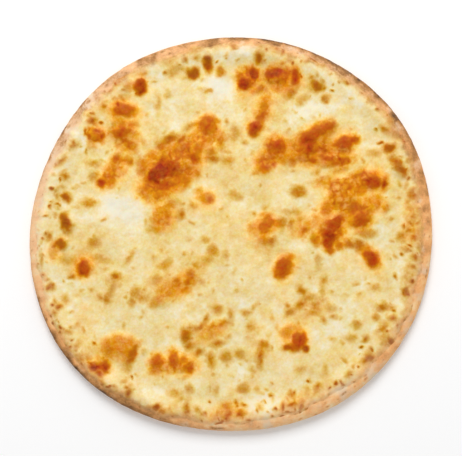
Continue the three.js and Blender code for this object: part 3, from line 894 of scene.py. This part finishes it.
class Shader:
    """One material's node tree, with short ways to add nodes."""

    def __init__(self, name):
        self.material = bpy.data.materials.new(name)
        self.material.use_nodes = True
        self.tree = self.material.node_tree
        self.tree.nodes.clear()
        self.coordinates = self.add("ShaderNodeTexCoord").outputs["Object"]

    def add(self, kind, settings=None, **inputs):
        node = self.tree.nodes.new(kind)
        for key, value in (settings or {}).items():
            setattr(node, key, value)
        for key, value in inputs.items():
            self.connect(node.inputs[key.replace("_", " ")], value)
        return node

    def connect(self, socket, value):
        if isinstance(value, bpy.types.NodeSocket):
            self.tree.links.new(value, socket)
        else:
            socket.default_value = value

    def attribute(self, name):
        return self.add("ShaderNodeAttribute", {"attribute_name": name}).outputs["Fac"]

    def noise(self, size, detail=3.0, roughness=0.55):
        """Noise with bumps of this size in millimetres."""
        node = self.add("ShaderNodeTexNoise", Vector=self.coordinates, Scale=1 / (size * MM), Detail=detail,
                        Roughness=roughness)
        return node.outputs["Fac"]

    def math(self, operation, *values):
        node = self.add("ShaderNodeMath", {"operation": operation})
        for socket, value in zip(node.inputs, values):
            self.connect(socket, value)
        return node.outputs[0]

    def span(self, value, low, high, out_low, out_high):
        """The value's range from low to high, stretched smoothly to the out range and held at its ends."""
        node = self.add("ShaderNodeMapRange", {"interpolation_type": "SMOOTHSTEP"}, Value=value)
        for key, number in (("From Min", low), ("From Max", high), ("To Min", out_low), ("To Max", out_high)):
            node.inputs[key].default_value = number
        return node.outputs["Result"]

    def ramp(self, value, stops):
        node = self.add("ShaderNodeValToRGB", Fac=value)
        elements = node.color_ramp.elements
        while len(elements) < len(stops):
            elements.new(1.0)
        for element, (place, colour) in zip(elements, stops):
            element.position = place
            element.color = rgb(*colour)
        return node.outputs["Color"]

    def mix(self, factor, a, b):
        node = self.add("ShaderNodeMix", {"data_type": "RGBA"})
        self.connect(node.inputs[0], factor)
        self.connect(node.inputs[6], a)
        self.connect(node.inputs[7], b)
        return node.outputs[2]

    def finish(self, **inputs):
        surface = self.add("ShaderNodeBsdfPrincipled", **inputs)
        output = self.add("ShaderNodeOutputMaterial")
        self.tree.links.new(surface.outputs["BSDF"], output.inputs["Surface"])
        return self.material


def crust_colour(shader, grain):
    """Baked dough: floury cream, tan and orange brown, to dark where it's charred."""
    grainy = shader.span(grain, 0.25, 0.75, -GRAIN_BAKE, GRAIN_BAKE)
    # This level carries the painted shade and light of the rim as well as the baking.
    bake_and_shade = shader.math("ADD", shader.attribute("bake_and_shade"), grainy)
    floury = shader.math("MULTIPLY", shader.attribute("flour"), shader.span(bake_and_shade, 0.55, 0.85, 1.0, 0.05))
    return shader.mix(floury, shader.ramp(bake_and_shade, BAKED_DOUGH), rgb(*FLOUR_COLOUR))


def cheese_toast(shader, grain):
    """The cheese's browning level, with its grain and with flecks in the mottled patches."""
    grainy = shader.span(grain, 0.2, 0.8, -GRAIN_TOAST, GRAIN_TOAST)
    flecks = shader.span(shader.noise(FLECK_SIZE, 1.0), 0.3, 0.7, -FLECK_STRENGTH, FLECK_STRENGTH)
    toast = shader.math("ADD", shader.attribute("toast"), grainy)
    return shader.math("MULTIPLY_ADD", flecks, shader.attribute("mottling"), toast)


def cheese_colour(shader, toast):
    """Mottled cream, gold round the browned spots, then orange to dark red-brown."""
    open_cheese = shader.ramp(toast, OPEN_CHEESE)
    warm_cheese = shader.ramp(toast, WARM_CHEESE)
    hues = shader.noise(HUE_PATCHES, 4, 0.7)
    strengths = shader.noise(SATURATION_PATCHES, 4, 0.7)
    strength = shader.span(strengths, 0.3, 0.7, LEAST_SATURATION, LEAST_SATURATION + SATURATION_SPREAD)
    at_rim = shader.span(shader.attribute("rim"), 0.0, 1.0, 1.0, RIM_SATURATION)
    varied = shader.add(
        "ShaderNodeHueSaturation",
        Hue=shader.span(hues, 0.3, 0.7, 0.5 - HUE_SPREAD, 0.5 + HUE_SPREAD),
        Saturation=shader.math("MULTIPLY", strength, at_rim),
        Color=shader.mix(shader.attribute("warm"), open_cheese, warm_cheese),
    )
    unbrowned = shader.span(toast, 0.15, 0.4, WHITE_STRENGTH, 0.0)
    white = shader.math("MULTIPLY", shader.attribute("white"), unbrowned)
    return shader.mix(white, varied.outputs["Color"], rgb(*WHITE_CHEESE))


def cheese_material():
    """Melted cheese, which shows the crust where it is thin."""
    shader = Shader("melted_cheese")
    grain = shader.noise(CHEESE_GRAIN)
    toast = cheese_toast(shader, grain)
    thin = shader.math("MULTIPLY", shader.attribute("thin"), shader.span(toast, 0.35, 0.65, 1.0, 0.25))
    bump = shader.add("ShaderNodeBump", Strength=0.35, Distance=0.25 * MM, Height=grain)
    return shader.finish(
        Base_Color=shader.mix(thin, cheese_colour(shader, toast), crust_colour(shader, grain)),
        Roughness=shader.span(toast, 0.2, 0.9, 0.42, 0.55),
        Normal=bump.outputs["Normal"],
        Subsurface_Weight=0.06,
        Subsurface_Scale=0.001,
        Specular_IOR_Level=0.1,
    )


def dough_material():
    shader = Shader("baked_dough")
    grain = shader.noise(DOUGH_GRAIN)
    bump = shader.add("ShaderNodeBump", Strength=0.4, Distance=0.3 * MM, Height=grain)
    return shader.finish(
        Base_Color=crust_colour(shader, grain),
        Roughness=0.75,
        Normal=bump.outputs["Normal"],
        Subsurface_Weight=0.06,
        Subsurface_Scale=0.0015,
        Specular_IOR_Level=0.2,
    )


# ---- Stage ----
def build_floor():
    corners = [(x * FLOOR_HALF, y * FLOOR_HALF, 0) for x, y in ((-1, -1), (1, -1), (1, 1), (-1, 1))]
    mesh = bpy.data.meshes.new("floor")
    mesh.from_pydata(corners, [], [(0, 1, 2, 3)])
    shader = Shader("floor")
    mesh.materials.append(shader.finish(Base_Color=(0.99, 0.99, 0.99, 1), Roughness=0.9))
    floor = bpy.data.objects.new("floor", mesh)
    bpy.context.scene.collection.objects.link(floor)


def add_key_light():
    """One square light, which points at the origin."""
    light = bpy.data.lights.new("key", "AREA")
    light.shape = "SQUARE"
    light.size = KEY_SIZE
    light.energy = KEY_POWER
    holder = bpy.data.objects.new("key", light)
    holder.location = KEY_PLACE
    holder.rotation_euler = (-Vector(KEY_PLACE)).to_track_quat("-Z", "Y").to_euler()
    bpy.context.scene.collection.objects.link(holder)


def set_sky():
    world = bpy.data.worlds.new("world")
    world.use_nodes = True
    sky = world.node_tree.nodes["Background"]
    sky.inputs["Color"].default_value = (1, 1, 1, 1)
    sky.inputs["Strength"].default_value = SKY_STRENGTH
    bpy.context.scene.world = world
    bpy.context.scene.view_settings.view_transform = "Standard"


def add_camera():
    """A camera that looks straight down."""
    camera = bpy.data.cameras.new("camera")
    camera.lens = CAMERA_LENS
    camera.sensor_width = CAMERA_SENSOR
    holder = bpy.data.objects.new("camera", camera)
    distance = PICTURE_WIDTH * CAMERA_LENS / CAMERA_SENSOR
    holder.location = (Vector((*CAMERA_OFFSET, distance + GIRTH_HEIGHT)) - Vector(plan_centre())) * MM
    bpy.context.scene.collection.objects.link(holder)
    bpy.context.scene.camera = holder


def main():
    cheese = build_cheese(cheese_material())
    dough = build_dough(dough_material())
    for piece, node, slot in ((cheese, "cheese", "melted_cheese"), (dough, "dough", "baked_dough")):
        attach(piece, "root")
        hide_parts(node)
    build_floor()
    add_key_light()
    set_sky()
    add_camera()


main()
